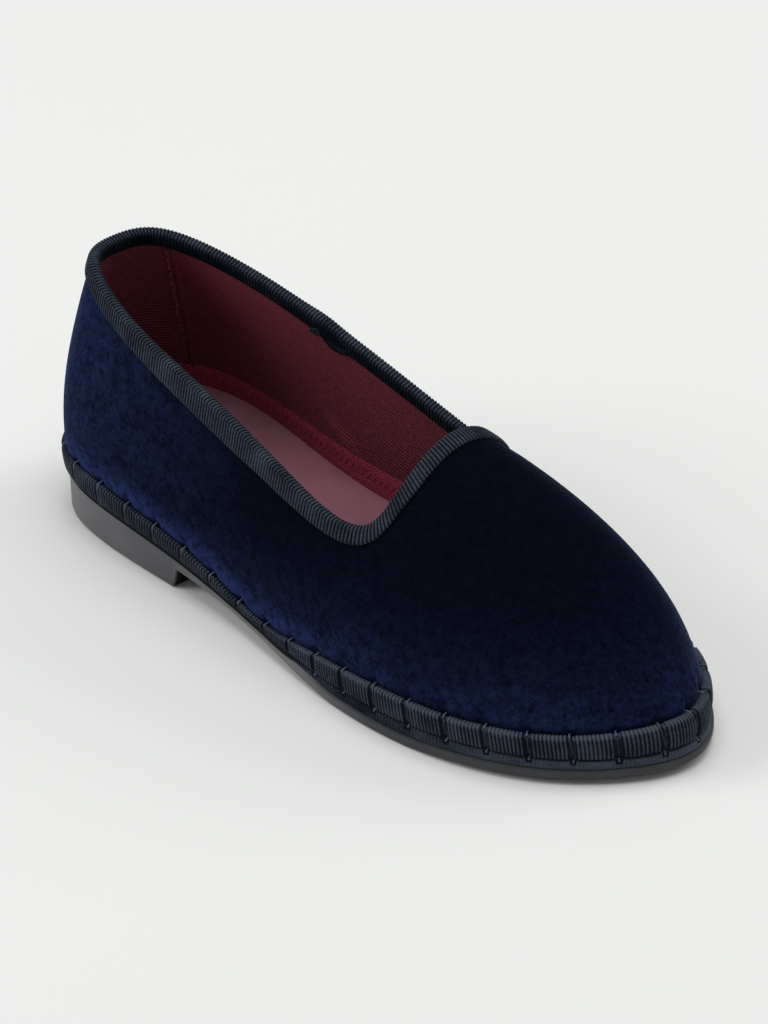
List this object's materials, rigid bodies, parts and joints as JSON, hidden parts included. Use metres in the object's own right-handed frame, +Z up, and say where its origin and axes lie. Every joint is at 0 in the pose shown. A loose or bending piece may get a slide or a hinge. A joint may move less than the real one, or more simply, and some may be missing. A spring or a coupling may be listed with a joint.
{
  "type": "slipper loafer",
  "caption": "Right-foot velvet slipper loafer: hollow upper with ribbon-bound collar, whip-stitched rand, leather sock and a moulded rubber sole with a low heel.",
  "frame": {"origin": "middle of the shoe's footprint box, on the floor", "axes": "+X from heel to toe, +Y to the medial side of the right foot, +Z up"},
  "size_m": [0.1916, 0.069, 0.067],
  "materials": {
    "outsole": "satin grey-black moulded rubber",
    "foxing_band": "ribbed grosgrain ribbon, matt",
    "upper": "navy cotton velvet, deep nap",
    "topline_binding": "ribbed grosgrain ribbon, matt",
    "insole": "dusty mauve leather sock, matt"
  },
  "bodies": {
    "root": {"outsole": "outsole", "foxing_band": "foxing_band", "upper": "upper", "topline_binding": "topline_binding", "insole": "insole"}
  },
  "joints": []
}
